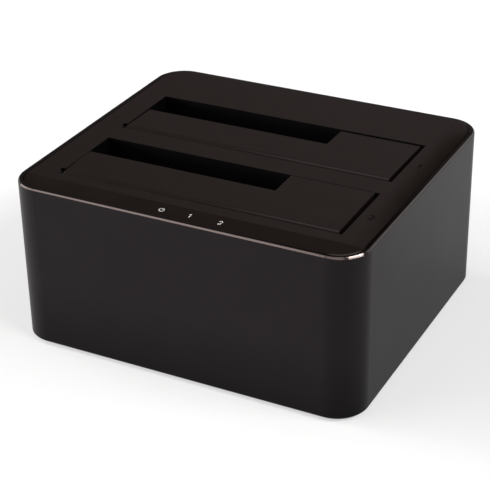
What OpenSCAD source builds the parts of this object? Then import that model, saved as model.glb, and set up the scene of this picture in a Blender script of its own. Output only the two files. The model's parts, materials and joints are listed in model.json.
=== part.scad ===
// Two-bay docking station for bare hard drives: a satin sleeve between a top panel and a base,
// with a sprung flap over each bay, a drive cradle, and a circuit board that carries the sockets.
// Millimetres, +Z up, +X to the right and +Y to the rear, origin under the middle of the feet.

/* [Housing] */
// Border of the top from the left wall to the bays
border_left = 12.6; // [12:0.1:20]
// Border of the top from the right wall to the bays
border_right = 11.9; // [11.5:0.1:20]
// Border of the top in front of the bays
border_front = 14.8; // [13:0.1:22]
// Border of the top behind the bays, over the rear sockets
border_rear = 26.9; // [26:0.1:40]
// Height of the sleeve
body_h = 60.5; // [52:0.5:80]
// Radius of the sleeve's upright corners
corner_r = 11.2; // [7:0.1:14]
// Wall thickness of the sleeve
wall = 2.6; // [2.4:0.1:3]
// Thickness left at the sleeve's rim, around the panel and the base
rim_t = 1.8; // [1.2:0.1:1.9]
// Chamfer along the sleeve's upper and lower edges
rim_chamfer = 0.7; // [0.2:0.05:0.7]
// Thickness of the top panel
panel_t = 2.4; // [2.2:0.1:3]
// Gap around the top panel and the base plate
panel_gap = 0.25; // [0.1:0.05:0.5]
// Chamfer along the top panel's edge
panel_edge = 0.3; // [0.1:0.05:0.8]
// Depth of the sloping strip along the front of the top
strip_d = 10.1; // [5:0.1:12]
// Fall of the sloping strip towards the front
strip_drop = 0.5; // [0.1:0.05:0.8]
// Thickness of the base plate
base_t = 2; // [1.8:0.1:3]

/* [Bays] */
// Length of a bay opening, for a 101.6 mm wide drive
bay_l = 105.2; // [102.4:0.1:110]
// Depth of a bay opening, for a 26.1 mm thick drive beside the open flap
bay_d = 31.8; // [30.6:0.1:36]
// Bar of the top panel between the two bays
bay_bridge = 9.5; // [7:0.1:16]
// Length of the slot for a 69.85 mm wide small drive
slot_l = 73; // [70.5:0.1:76]
// Depth of the slot for a small drive
slot_d = 13; // [10:0.1:15]
// Wall thickness of the drive cradle
well_wall = 1.8; // [1.2:0.1:2.2]
// Thickness of a bay's floor
well_floor = 2; // [1.5:0.1:3]
// Clear height between the circuit board and the bay floors
floor_clear = 4.9; // [4.5:0.1:6]

/* [Flaps] */
// Thickness of a flap
flap_t = 2; // [1.6:0.1:2.3]
// Radius of the rounded hinge edge of a flap
nose_r = 2.2; // [2.1:0.05:2.3]
// Gap in front of a flap's hinge edge
gap_front = 0.4; // [0.3:0.05:0.8]
// Gap behind a flap's free edge
gap_rear = 0.7; // [0.3:0.05:1]
// Gap at a flap's left end
gap_left = 0.5; // [0.3:0.05:1]
// Gap at a flap's right end
gap_right = 1.6; // [0.3:0.05:2]
// Tilt of the rear flap at rest, in degrees, free edge down
rear_tilt = -0.7; // [-1:0.1:0]
// Tilt of the front flap at rest, in degrees, free edge up
front_tilt = 0.6; // [0:0.1:0.7]
// Diameter of a flap's hinge pin
pin_d = 1.5; // [1.2:0.1:1.6]
// Diameter of the flap springs' wire
wire_d = 0.4; // [0.3:0.05:0.45]
// Turns of a flap spring
spring_turns = 8; // [4:1:10]

/* [Board and sockets] */
// Width of the circuit board
board_w = 102; // [98:1:106]
// Thickness of the circuit board
board_t = 1.6; // [1:0.1:2]
// Height of the posts under the circuit board
standoff_h = 5; // [4:0.1:7]
// Length of a drive socket
socket_l = 41; // [40:0.5:46]
// Depth of a drive socket
socket_d = 6.4; // [5.6:0.1:7]
// Height of a drive socket above the circuit board
socket_h = 11.4; // [9:0.1:13]
// Place of the data port from the middle, along the rear
usb_x = -24; // [-32:1:-16]
// Place of the power jack from the middle, along the rear
jack_x = 0; // [-4:1:4]
// Place of the power button from the middle, along the rear
button_x = 22; // [18:1:34]
// Diameter of the power button
button_d = 7.8; // [6:0.1:9]
// Travel of the power button
button_travel = 1.2; // [0.5:0.1:1.5]
// Height of the port axes above the circuit board
port_axis = 6.4; // [6:0.1:7]

/* [Feet] */
// Height that the feet stand below the base
foot_h = 1; // [0.8:0.1:4]
// Diameter of a foot
foot_d = 11; // [8:0.5:14]

/* [Hidden] */
$fn = 64;

// Overall size and the walls
body_w = border_left + bay_l + border_right;
body_d = border_front + 2 * bay_d + bay_bridge + border_rear;
z_body = foot_h;
z_top = foot_h + body_h;
z_panel = z_top - panel_t;
inner_w = body_w - 2 * wall;
inner_d = body_d - 2 * wall;
inner_r = corner_r - wall;
y_rear_in = body_d / 2 - wall;
y_rear_out = body_d / 2;
y_front_in = wall - body_d / 2;
lid_w = body_w - 2 * (rim_t + panel_gap);
lid_d = body_d - 2 * (rim_t + panel_gap);
lid_r = corner_r - rim_t - panel_gap;
eps = 0.01;
cut = 1;
lap = 0.5;

// Bays, counted 0 for the front one and 1 for the rear one
FRONT = 0;
REAR = 1;
x_left = border_left - body_w / 2;
x_right = x_left + bay_l;
x_slot = x_left + slot_l;
function bay_y(bay) = border_front - body_d / 2 + bay * (bay_d + bay_bridge);

// Flap hinge: the axis runs along X inside the rounded edge
flap_x = x_left + gap_left;
flap_l = bay_l - gap_left - gap_right;
flap_reach = bay_d - gap_front - nose_r - gap_rear;
z_hinge = z_top - nose_r;
function hinge_y(bay) = bay_y(bay) + gap_front + nose_r;
function tilt(bay) = bay == REAR ? rear_tilt : front_tilt;
pin_r = pin_d / 2;
pin_run = 0.05;
pin_fit = 0.03;
pin_seat = 3;
notch_w = 1.3;
notch_d = 2.2;

// Stops that hold a flap's free edge level, under the panel's edge
stop_w = 6;
stop_t = 1.2;
stop_reach = 1;
stop_clear = 0.5;
stop_drop = 9.5;
stop_x = [x_slot + stop_w, x_right - gap_right - 2 * stop_w];

// Flap spring, a coil around the hinge pin with a leg under the flap and a leg on the bay wall
coil_clear = 0.1;
coil_space = 0.45;
coil_r = pin_r + coil_clear + wire_d / 2;
coil_pitch = wire_d + coil_space;
coil_l = spring_turns * coil_pitch;
pocket_clear = 0.3;
pocket_r = coil_r + wire_d / 2 + pocket_clear;
pocket_l = coil_l + 2 * (wire_d + pocket_clear);
pocket_in = 24;
pocket_x = x_right - pocket_in;
leg_l = 9;
leg_gap = 0.1;
leg_dip = 0.4;
coil_sides = 6;
coil_rings = 8;

// Heights above the base
z_base = z_body + base_t;
z_board = z_base + standoff_h;
z_board_top = z_board + board_t;
z_floor = z_board_top + floor_clear;
z_floor_top = z_floor + well_floor;

// Cradle: a flange under the panel carries both bays and stands on corner posts
cradle_gap = 0.3;
flange_t = 2;
boss_h = 4;
z_flange = z_panel - boss_h - flange_t;
post_r = 3.2;
post_gap = 0.6;
post_in = (corner_r - wall - post_r - post_gap) / sqrt(2);
post_x = body_w / 2 - corner_r + post_in;
post_y = body_d / 2 - corner_r + post_in;
POSTS = [for (sx = [-1, 1], sy = [-1, 1]) [sx * post_x, sy * post_y]];

// Screws: head radius, head height, shank radius and shank length
screw_clear = 0.05;
base_screw = [2.6, 1.1, 1.3, 10];
board_screw = [2.4, 1.6, 1.15, 5];
panel_screw = [2.4, 1.6, 1.15, 5];
led_screw = [1.6, 1.2, 0.8, 3.4];
hole_clear = 0.3;
screw_sink = 0.1;
boss_r = 2.7;
boss_in_front = 4.8;
boss_in_rear = 9;
boss_in_side = 10;
boss_front_y = y_front_in + boss_in_front;
boss_rear_y = y_rear_in - boss_in_rear;
boss_x = bay_l / 2 - boss_in_side;
BOSSES = [for (sx = [-1, 1], y = [boss_front_y, boss_rear_y]) [sx * boss_x, y]];

// Circuit board and what it carries
board_in_front = 3;
board_gap = 1.5;
board_front = bay_y(FRONT) + board_in_front;
board_rear = y_rear_in - board_gap;
board_d = board_rear - board_front;
standoff_r = 3;
standoff_in = 4.5;
STANDOFFS = [for (sx = [-1, 1], y = [board_front + standoff_in, board_rear - standoff_in])
    [sx * (board_w / 2 - standoff_in), y]];

// Drive sockets: where the drive standards put the connector, from the drive's edge and underside
large_drive_w = 101.6;
plug_from_edge = 30.1;
plug_from_rear = 4.5;
socket_x = x_left + (bay_l - large_drive_w) / 2 + plug_from_edge;
function socket_y(bay) = bay_y(bay) + bay_d - plug_from_rear;
socket_clear = 0.5;
tower_w = 2.6;
tower_h = 2.4;
contact_pitch = 1.27;
contact_w = 0.5;
contact_t = 0.35;
contact_h = 5.4;
signal_pins = 7;
power_pins = 15;
blade_t = 1.9;
blade_depth = 6.6;
blade_margin = 0.9;
blade_gap = 2.2;
signal_l = signal_pins * contact_pitch + 2 * blade_margin;
power_l = power_pins * contact_pitch + 2 * blade_margin;
blades_l = signal_l + blade_gap + power_l;
key_w = 1.3;
key_reach = 1.2;

// Parts on the circuit board, as length, depth and height
bridge_size = [12, 12, 1.4];
memory_size = [5, 4, 1.6];
crystal_size = [5, 3.2, 1.2];
inductor_size = [7.3, 7.3, 4];
regulator_size = [5, 6, 1.6];
ceramic_size = [1.6, 0.8, 0.8];
can_foot = [6.4, 6.4, 0.8];
can_r = 3.1;
can_h = 7.2;
can_gap = 0.2;
can_pitch = can_foot[1] + can_gap;
part_gap = 2.5;
ceramic_pitch = 3;
supply_pitch = inductor_size[0] + part_gap;
supply_x = x_left + well_wall + inductor_size[0];
bridge_x = x_slot + well_wall;
bridge_y = bay_y(REAR) - bay_bridge / 2;

// Data port, power jack and button at the rear
port_clear = 0.3;
port_inset = 0.2;
usb_shell_t = 0.4;
usb_low = [10, 8.9];
usb_high = [7.4, 4.2];
usb_d = 18.3;
usb_back = 5;
insert_clear = 0.02;
tongue_w = 5.6;
tongue_t = 3.2;
upper_tongue_w = 4.6;
upper_tongue_t = 1.2;
usb_contact_w = 0.7;
usb_contact_t = 0.2;
usb_contact_pitch = 2.6;
usb_fine_w = 0.35;
usb_fine_pitch = 0.85;
usb_contact_in = 1;
tongue_in = 3;
upper_tongue_drop = 2.6;
z_tongue = usb_low[1] / 2 - tongue_t / 2;
z_upper_tongue = usb_low[1] + usb_high[1] - upper_tongue_drop;
tongue_l = usb_d - usb_back - tongue_in;
usb_contact_l = tongue_l - 2 * usb_contact_in;
y_usb = y_rear_out - port_inset - usb_d;
jack_w = 9;
jack_h = 11;
jack_d = 12.5;
snout_r = 4.2;
snout_clear = 0.25;
jack_bore_r = 3.2;
jack_bore_d = 10.5;
jack_pin_r = 1.25;
jack_pin_l = 9;
z_port = z_board_top + port_axis;
button_clear = 0.25;
button_inset = 0.1;
button_lip = 1.1;
button_flange_r = button_d / 2 + button_lip;
button_flange_t = 1.2;
button_seat = 0.2;
y_button_back = y_rear_in - button_seat - button_flange_t;
plunger_w = 3;
plunger_l = 7;
plunger_clear = 0.15;
switch_w = 8;
switch_h = 9;
switch_d = 9;
switch_gap = 1.2;
switch_back = 1;
switch_front = y_button_back - button_travel - switch_gap;
switch_hole = switch_d - switch_back + y_button_back - switch_front;
switch_coil_r = 0.95;
switch_coil_gap = 0.05;
switch_wire_d = 0.25;
switch_turns = 4;

// Indicators behind the panel's front border
led_pitch = 10.8;
led_x = 3.5;
led_in = 6.1;
led_y = led_in - body_d / 2;
LEDS = [-1, 0, 1];
pipe_r = 1.2;
pipe_clear = 0.1;
pipe_skin = 0.5;
z_pipe_top = z_top - strip_drop - pipe_skin;
pipe_collar_r = 1.6;
pipe_collar_t = 1;
led_size = [2, 1.25, 0.8];
led_board_t = 1;
led_shelf_t = 2;
led_shelf_w = 6;
led_board_w = len(LEDS) * led_pitch + 2 * led_shelf_w;
led_board_gap = 0.5;
led_board_y0 = y_front_in + led_board_gap;
led_board_y1 = bay_y(FRONT) - well_wall - cradle_gap;
led_board_drop = 5;
z_led_board = z_flange + flange_t - led_board_drop;
header_w = 8;
header_d = 4;
header_h = 3.4;
ribbon_wires = 4;
ribbon_pitch = 1.27;
ribbon_w = 1;
ribbon_t = 0.9;
ribbon_bend = 3;

// Feet and screw seats in the base
foot_seat = 0.6;
foot_in = 16;
foot_x = body_w / 2 - foot_in;
foot_y = body_d / 2 - foot_in;
foot_r = foot_d / 2;
foot_clear = 0.1;
foot_lip = 0.6;
vent_l = 26;
vent_w = 2.2;
vent_pitch = 5;
vent_count = 9;

// Rounded rectangle around the origin
module outline(w, d, r) {
    square([w - 2 * r, d], center = true);
    square([w, d - 2 * r], center = true);
    for (sx = [-1, 1], sy = [-1, 1])
        translate([sx * (w / 2 - r), sy * (d / 2 - r)]) circle(r);
}

// Rounded slab standing on z = 0
module slab(w, d, r, h) linear_extrude(h) outline(w, d, r);

module trapezoid(width, c) polygon([[-width / 2, -lap], [width / 2, -lap], [width / 2, 0],
    [width / 2 - c, c], [c - width / 2, c], [-width / 2, 0]]);

// Sloping band of height c along a rounded slab's upper edge, with a lap into the slab
module chamfer_band(w, d, r, c) {
    rotate([90, 0, 90]) linear_extrude(w - 2 * r, center = true) trapezoid(d, c);
    rotate([90, 0, 0]) linear_extrude(d - 2 * r, center = true) trapezoid(w, c);
    for (sx = [-1, 1], sy = [-1, 1])
        translate([sx * (w / 2 - r), sy * (d / 2 - r), 0]) {
            cylinder(h = c, r1 = r, r2 = r - c);
            translate([0, 0, -lap]) cylinder(h = lap, r = r);
        }
}

// Rounded slab with a chamfer along its upper edge and, if asked for, its lower edge
module chamfered_slab(w, d, r, h, c, lower = 0) {
    translate([0, 0, lower]) slab(w, d, r, h - c - lower);
    translate([0, 0, h - c]) chamfer_band(w, d, r, c);
    if (lower > 0) translate([0, 0, lower]) mirror([0, 0, 1]) chamfer_band(w, d, r, lower);
}

// Cylinder along X from its left end
module rod_x(l, r) rotate([0, 90, 0]) cylinder(h = l, r = r);

// Cylinder along Y from its front end
module rod_y(l, r) rotate([-90, 0, 0]) cylinder(h = l, r = r);

// Screw standing head down, with a cross in its head and its shank along +Z from the head's seat
module screw(size) {
    difference() {
        translate([0, 0, -size[1]]) cylinder(h = size[1], r = size[0]);
        for (turn = [0, 90])
            rotate(turn)
                translate([-size[0] * 0.6, -size[0] * 0.13, -size[1] - cut])
                    cube([size[0] * 1.2, size[0] * 0.26, cut + size[1] * 0.6]);
    }
    cylinder(h = size[3], r = size[2]);
}

// Tube through points that never run along X: rings of given sides, each square to its own stretch
function unit(v) = v / norm(v);
function along(p, i) = unit(p[min(i + 1, len(p) - 1)] - p[max(i - 1, 0)]);
function across(t) = unit(cross(t, [1, 0, 0]));
function ring(c, t, r, sides) = let (u = across(t), v = cross(t, u))
    [for (k = [0 : sides - 1]) c + r * (cos(360 * k / sides) * u + sin(360 * k / sides) * v)];
module tube(p, r, sides) {
    n = len(p);
    points = [for (i = [0 : n - 1]) each ring(p[i], along(p, i), r, sides)];
    sides_faces = [for (i = [0 : n - 2], k = [0 : sides - 1]) let (
        a = i * sides + k, b = i * sides + (k + 1) % sides, c = a + sides, d = b + sides)
        each [[a, c, b], [b, c, d]]];
    first = [for (k = [1 : sides - 2]) [0, k, k + 1]];
    last = [for (k = [1 : sides - 2]) let (o = (n - 1) * sides) [o, o + k + 1, o + k]];
    polyhedron(points, concat(sides_faces, first, last));
}

// Points of a coil along +X from the origin, turning back from the given angle between +Y and +Z
function coil(turns, pitch, r, start) = [for (i = [0 : turns * coil_rings])
    let (a = start - 360 * i / coil_rings) [pitch * i / coil_rings, r * cos(a), r * sin(a)]];

// Least gap between points of a tube that are at least half a turn apart
function least_gap(p, d) = min([for (i = [0 : len(p) - 1], j = [i + coil_rings / 2 : 1 : len(p) - 1])
    norm(p[i] - p[j])]) - d;

// Sleeve: four walls in one piece, rebated at both ends, with the rear ports cut through
module outer_sleeve() color([0.13, 0.125, 0.13]) difference() {
    translate([0, 0, z_body]) chamfered_slab(body_w, body_d, corner_r, body_h, rim_chamfer, rim_chamfer);
    translate([0, 0, z_body - cut]) slab(inner_w, inner_d, inner_r, body_h + 2 * cut);
    translate([0, 0, z_panel]) rebate(panel_t);
    translate([0, 0, z_body - cut]) rebate(base_t);
    translate([usb_x, y_rear_in - cut, z_board_top]) usb_profile(wall + 2 * cut, port_clear);
    translate([jack_x, y_rear_in - cut, z_port]) rod_y(wall + 2 * cut, snout_r + snout_clear);
    translate([button_x, y_rear_in - cut, z_port]) rod_y(wall + 2 * cut, button_d / 2 + button_clear);
}

// Room for the panel or the base inside the sleeve's rim
module rebate(h) slab(body_w - 2 * rim_t, body_d - 2 * rim_t, corner_r - rim_t, h + cut);

// Top panel: plate with two bay openings, pin seats, light windows and screw bosses
module top_panel() color([0.11, 0.1, 0.1]) difference() {
    union() {
        translate([0, 0, z_panel]) chamfered_slab(lid_w, lid_d, lid_r, panel_t, panel_edge);
        for (b = BOSSES) translate([b[0], b[1], z_panel - boss_h]) cylinder(h = boss_h + eps, r = boss_r);
    }
    for (bay = [FRONT, REAR]) {
        translate([x_left, bay_y(bay), z_panel - cut]) cube([bay_l, bay_d, panel_t + 2 * cut]);
        translate([x_left - notch_w, hinge_y(bay) - notch_d / 2, z_panel - cut])
            cube([notch_w + cut, notch_d, panel_t + 2 * cut]);
        pin_channel(bay);
    }
    front_slope();
    for (i = LEDS)
        translate([led_x + i * led_pitch, led_y, z_panel - cut])
            cylinder(h = z_pipe_top + pipe_clear - z_panel + cut, r = pipe_r + pipe_clear);
    for (b = BOSSES)
        translate([b[0], b[1], z_panel - boss_h - cut])
            cylinder(h = cut + boss_h + panel_t / 3, r = panel_screw[2] + screw_clear);
}

// What the sloping strip along the front takes off the panel
module front_slope() rotate([90, 0, 90]) linear_extrude(body_w, center = true)
    polygon([[strip_d - body_d / 2, z_top], [-body_d / 2, z_top - strip_drop], [-body_d / 2, z_top + cut],
        [strip_d - body_d / 2, z_top + cut]]);

// Channel that a hinge pin lies in, shared by the panel and the cradle
module pin_channel(bay)
    translate([x_left - pin_seat, hinge_y(bay), z_hinge]) rod_x(bay_l + 2 * pin_seat, pin_r + pin_fit);

// Cradle: flange with two open bays, floors around the sockets and posts down to the base
module drive_cradle() color([0.07, 0.07, 0.07]) difference() {
    union() {
        translate([0, 0, z_flange])
            slab(inner_w - 2 * cradle_gap, inner_d - 2 * cradle_gap, inner_r - cradle_gap, flange_t);
        for (bay = [FRONT, REAR])
            translate([x_left - well_wall, bay_y(bay) - well_wall, z_floor])
                cube([bay_l + 2 * well_wall, bay_d + 2 * well_wall, z_panel - z_floor]);
        for (p = POSTS) translate([p[0], p[1], z_base]) cylinder(h = z_flange - z_base + eps, r = post_r);
        led_shelves();
    }
    for (bay = [FRONT, REAR]) {
        translate([x_left, bay_y(bay), z_floor_top]) cube([bay_l, bay_d, z_panel]);
        translate([socket_x, socket_y(bay), z_floor - cut])
            linear_extrude(well_floor + 2 * cut)
                square([socket_l + 2 * socket_clear, socket_d + 2 * socket_clear], center = true);
        for (x = stop_x)
            translate([x - stop_clear, bay_y(bay) + bay_d - cut, z_panel - stop_drop])
                cube([stop_w + 2 * stop_clear, well_wall + 2 * cut, stop_drop + cut]);
        pin_channel(bay);
    }
    for (p = POSTS)
        translate([p[0], p[1], z_base - cut])
            cylinder(h = cut + base_screw[3], r = base_screw[2] + screw_clear);
    for (b = BOSSES)
        translate([b[0], b[1], z_flange - cut])
            cylinder(h = flange_t + 2 * cut, r = panel_screw[2] + hole_clear);
    led_board_window();
}

// Base: plate with board posts, foot seats, screw seats and vents
module base_plate() color([0.06, 0.06, 0.06]) difference() {
    union() {
        translate([0, 0, z_body]) slab(lid_w, lid_d, lid_r, base_t);
        for (s = STANDOFFS)
            translate([s[0], s[1], z_base - eps]) cylinder(h = standoff_h + eps, r = standoff_r);
    }
    for (sx = [-1, 1], sy = [-1, 1])
        translate([sx * foot_x, sy * foot_y, z_body - cut])
            cylinder(h = cut + foot_seat, r = foot_r + foot_clear);
    for (p = POSTS) translate([p[0], p[1], z_body - cut]) {
        cylinder(h = base_t + 2 * cut, r = base_screw[2] + hole_clear);
        cylinder(h = cut + base_screw[1] + screw_sink, r = base_screw[0] + hole_clear);
    }
    for (s = STANDOFFS)
        translate([s[0], s[1], z_board - board_screw[3]])
            cylinder(h = board_screw[3] + cut, r = board_screw[2] + screw_clear);
    for (i = [0 : vent_count - 1], sx = [-1, 1])
        translate([sx * vent_l * 0.75, (i - (vent_count - 1) / 2) * vent_pitch, z_body - cut])
            linear_extrude(base_t + 2 * cut) {
                square([vent_l - vent_w, vent_w], center = true);
                for (e = [-1, 1]) translate([e * (vent_l - vent_w) / 2, 0]) circle(d = vent_w);
            }
}

// Flap about its hinge axis: plate with the small-drive notch, rounded edge, stops and spring pocket
module flap_shape() difference() {
    union() {
        translate([flap_x, 0, nose_r - flap_t]) cube([flap_l, flap_reach, flap_t]);
        translate([flap_x, 0, 0]) rod_x(flap_l, nose_r);
        for (x = stop_x)
            translate([x, flap_reach - stop_t, nose_r - panel_t - stop_clear - stop_t]) {
                cube([stop_w, stop_t, panel_t + stop_clear + stop_t - flap_t + eps]);
                cube([stop_w, stop_t + gap_rear + stop_reach, stop_t]);
            }
    }
    translate([flap_x - cut, flap_reach + gap_rear - slot_d, nose_r - flap_t - cut])
        cube([x_slot - flap_x + cut, slot_d + cut, flap_t + 2 * cut]);
    translate([flap_x - cut, 0, 0]) rod_x(flap_l + 2 * cut, pin_r + pin_run);
    translate([pocket_x, 0, 0]) {
        rod_x(pocket_l, pocket_r);
        translate([0, -pocket_r, -nose_r - cut]) cube([pocket_l, pocket_r + nose_r + cut, nose_r + cut]);
    }
}

module flap(bay) color([0.11, 0.1, 0.1])
    translate([0, hinge_y(bay), z_hinge]) rotate([tilt(bay), 0, 0]) flap_shape();

module flap_pin(bay) color("dimgray")
    translate([x_left - pin_seat + pin_fit, hinge_y(bay), z_hinge])
        rod_x(bay_l + 2 * (pin_seat - pin_fit), pin_r);

// Flap spring: a coil on the pin, one leg back under the flap and one down the bay's front wall
module flap_spring(bay) {
    turns = coil(spring_turns, coil_pitch, coil_r, 90);
    end = turns[len(turns) - 1];
    leg_y = -coil_r - 2 * leg_gap;
    leg_z = nose_r - flap_t - wire_d / 2 - leg_gap;
    fixed_leg = [[0, leg_y, -leg_l], [0, leg_y, -coil_r], [0, -coil_r, 0], coil_r * [0, cos(135), sin(135)]];
    moving_leg = [end + coil_r * [0, cos(45), sin(45) - 1], end + coil_r * [0, 1, -1],
        [end[0], coil_r * 1.6, leg_z - leg_dip], [end[0], coil_r * 2.4, leg_z], [end[0], leg_l, leg_z]];
    path = concat(fixed_leg, turns, moving_leg);
    echo(str("flap spring least gap ", least_gap(turns, wire_d)));
    color("silver") translate([pocket_x + (pocket_l - coil_l) / 2, hinge_y(bay), z_hinge])
        tube(path, wire_d / 2, coil_sides);
}

// Circuit board with its fixing holes
module main_board() color("darkgreen") difference() {
    translate([-board_w / 2, board_front, z_board]) cube([board_w, board_d, board_t]);
    for (s = STANDOFFS)
        translate([s[0], s[1], z_board - cut])
            cylinder(h = board_t + 2 * cut, r = board_screw[2] + hole_clear);
}

// Drive socket: block with end towers and the two keyed blade slots
module sata_socket(bay) color([0.09, 0.09, 0.1])
    translate([socket_x, socket_y(bay), z_board_top]) difference() {
        union() {
            translate([-socket_l / 2, -socket_d / 2, 0]) cube([socket_l, socket_d, socket_h]);
            for (x = [-socket_l / 2, socket_l / 2 - tower_w])
                translate([x, -socket_d / 2, 0]) cube([tower_w, socket_d, socket_h + tower_h]);
        }
        for (s = [[-blades_l / 2, signal_l], [-blades_l / 2 + signal_l + blade_gap, power_l]])
            translate([s[0], -blade_t / 2, socket_h - blade_depth]) {
                cube([s[1], blade_t, blade_depth + cut]);
                cube([key_w, blade_t + key_reach, blade_depth + cut]);
            }
    }

module sata_contacts(bay) color("gold")
    translate([socket_x, socket_y(bay) - blade_t / 2, z_board_top + socket_h - blade_depth])
        for (row = [[-blades_l / 2, signal_pins], [-blades_l / 2 + signal_l + blade_gap, power_pins]],
             i = [0 : row[1] - 1])
            translate([row[0] + blade_margin + (i + 0.5) * contact_pitch - contact_w / 2, 0, 0])
                cube([contact_w, contact_t, contact_h]);

// Part on the circuit board, by its middle and its size
module chip(x, y, size) translate([x - size[0] / 2, y - size[1] / 2, z_board_top]) cube(size);

module bridge_chip() color([0.05, 0.05, 0.05]) chip(bridge_x, bridge_y, bridge_size);
module memory_chip() color([0.05, 0.05, 0.05])
    chip(bridge_x + bridge_size[0] / 2 + part_gap + memory_size[0] / 2, bridge_y, memory_size);
module crystal() color("silver")
    chip(bridge_x, bridge_y - bridge_size[1] / 2 - part_gap - crystal_size[1] / 2, crystal_size);
module power_inductors() color([0.16, 0.16, 0.17])
    for (i = [0 : 2]) chip(supply_x + i * supply_pitch, bridge_y, inductor_size);
module regulator_chips() color([0.05, 0.05, 0.05])
    for (i = [0 : 2])
        chip(supply_x + i * supply_pitch, bridge_y + inductor_size[1] / 2 + part_gap + regulator_size[1] / 2,
            regulator_size);
module ceramic_capacitors() color([0.62, 0.5, 0.36])
    for (i = [0 : 7], j = [0, 1])
        chip(bridge_x + (i - 3.5) * ceramic_pitch,
            bridge_y + bridge_size[1] / 2 + part_gap + (j + 0.5) * ceramic_pitch, ceramic_size);
module electrolytic_capacitors() color([0.2, 0.2, 0.22])
    for (i = [0 : 2])
        translate([(usb_x + jack_x) / 2, board_rear - can_foot[1] / 2 - i * can_pitch, 0]) {
            chip(0, 0, can_foot);
            translate([0, 0, z_board_top]) cylinder(h = can_h, r = can_r);
        }

// Outline of the data port along +Y, grown by a clearance
module usb_profile(l, grow) translate([0, l, 0]) rotate([90, 0, 0]) linear_extrude(l) {
    translate([-usb_low[0] / 2 - grow, -grow]) square([usb_low[0] + 2 * grow, usb_low[1] + 2 * grow]);
    translate([-usb_high[0] / 2 - grow, -grow])
        square([usb_high[0] + 2 * grow, usb_low[1] + usb_high[1] + 2 * grow]);
}

module usb_shell() color("silver") translate([usb_x, y_usb, z_board_top]) difference() {
    usb_profile(usb_d, 0);
    translate([0, -cut, 0]) usb_profile(usb_d + 2 * cut, -usb_shell_t);
}

// Insert that closes the port's back and carries both contact tongues
module usb_insert() color([0.05, 0.15, 0.45]) translate([usb_x, y_usb, z_board_top]) {
    usb_profile(usb_back + eps, -usb_shell_t - insert_clear);
    translate([-tongue_w / 2, usb_back, z_tongue]) cube([tongue_w, tongue_l, tongue_t]);
    translate([-upper_tongue_w / 2, usb_back, z_upper_tongue])
        cube([upper_tongue_w, tongue_l, upper_tongue_t]);
}

module usb_contacts() color("gold") translate([usb_x, y_usb + usb_back + usb_contact_in, z_board_top]) {
    for (i = [-0.5, 0.5], z = [z_tongue - usb_contact_t, z_tongue + tongue_t])
        translate([i * usb_contact_pitch - usb_contact_w / 2, 0, z])
            cube([usb_contact_w, usb_contact_l, usb_contact_t]);
    for (i = [-2 : 2])
        translate([i * usb_fine_pitch - usb_fine_w / 2, 0, z_upper_tongue - usb_contact_t])
            cube([usb_fine_w, usb_contact_l, usb_contact_t]);
}

// Power jack: block on the board with a round snout in the rear wall
module dc_jack() color([0.06, 0.06, 0.06]) translate([jack_x, 0, 0]) difference() {
    union() {
        translate([-jack_w / 2, board_rear - jack_d, z_board_top]) cube([jack_w, jack_d, jack_h]);
        translate([0, board_rear - eps, z_port]) rod_y(y_rear_out - port_inset - board_rear + eps, snout_r);
    }
    translate([0, y_rear_out - port_inset - jack_bore_d, z_port]) rod_y(jack_bore_d + cut, jack_bore_r);
}

module dc_jack_pin() color("silver")
    translate([jack_x, y_rear_out - port_inset - jack_bore_d, z_port]) rod_y(jack_pin_l, jack_pin_r);

// Power button: cap through the rear wall, held in by a flange
module power_button() color([0.08, 0.08, 0.08]) translate([button_x, y_button_back, z_port]) {
    rod_y(button_flange_t, button_flange_r);
    rod_y(y_rear_out - button_inset - y_button_back, button_d / 2);
}

module plunger_block(grow, l)
    translate([button_x - plunger_w / 2 - grow, y_button_back - l, z_port - plunger_w / 2 - grow])
        cube([plunger_w + 2 * grow, l, plunger_w + 2 * grow]);

module switch_plunger() color("ivory") plunger_block(0, plunger_l);

module switch_body() color([0.1, 0.1, 0.1]) difference() {
    translate([button_x - switch_w / 2, switch_front - switch_d, z_board_top])
        cube([switch_w, switch_d, switch_h]);
    plunger_block(plunger_clear, switch_hole);
}

// Return spring between the plunger and the back of the switch
module switch_spring() {
    space = switch_hole - plunger_l - switch_wire_d - 2 * switch_coil_gap;
    pitch = space / switch_turns;
    turns = coil(switch_turns, pitch, switch_coil_r, 0);
    echo(str("switch spring least gap ", least_gap(turns, switch_wire_d)));
    color("silver")
        translate([button_x, y_button_back - plunger_l - switch_wire_d / 2 - switch_coil_gap, z_port])
            rotate([0, 0, -90]) tube(turns, switch_wire_d / 2, coil_sides);
}

// Indicator board on two shelves of the cradle, behind the panel's front border
module led_shelves() {
    for (sx = [-1, 1])
        translate([led_x + sx * (led_board_w - led_shelf_w) / 2 - led_shelf_w / 2, led_board_y0, z_led_board])
            translate([0, 0, -led_shelf_t])
                cube([led_shelf_w, bay_y(FRONT) - well_wall - led_board_y0 + eps, led_shelf_t]);
}

module led_board_window() {
    translate([led_x - led_board_w / 2 - led_board_gap, y_front_in, z_flange - cut])
        cube([led_board_w + 2 * led_board_gap, bay_y(FRONT) - well_wall - y_front_in, flange_t + 2 * cut]);
    for (s = LED_SCREWS)
        translate([s[0], s[1], z_led_board - led_shelf_t - cut])
            cylinder(h = led_shelf_t + 2 * cut, r = led_screw[2] + screw_clear);
}

led_board_mid = (led_board_y0 + led_board_y1) / 2;
LED_SCREWS = [for (sx = [-1, 1]) [led_x + sx * (led_board_w / 2 - led_shelf_w / 2), led_board_mid]];
module led_board() color("darkgreen") difference() {
    translate([led_x - led_board_w / 2, led_board_y0, z_led_board])
        cube([led_board_w, led_board_y1 - led_board_y0, led_board_t]);
    for (s = LED_SCREWS)
        translate([s[0], s[1], z_led_board - cut])
            cylinder(h = led_board_t + 2 * cut, r = led_screw[2] + hole_clear);
}

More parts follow.
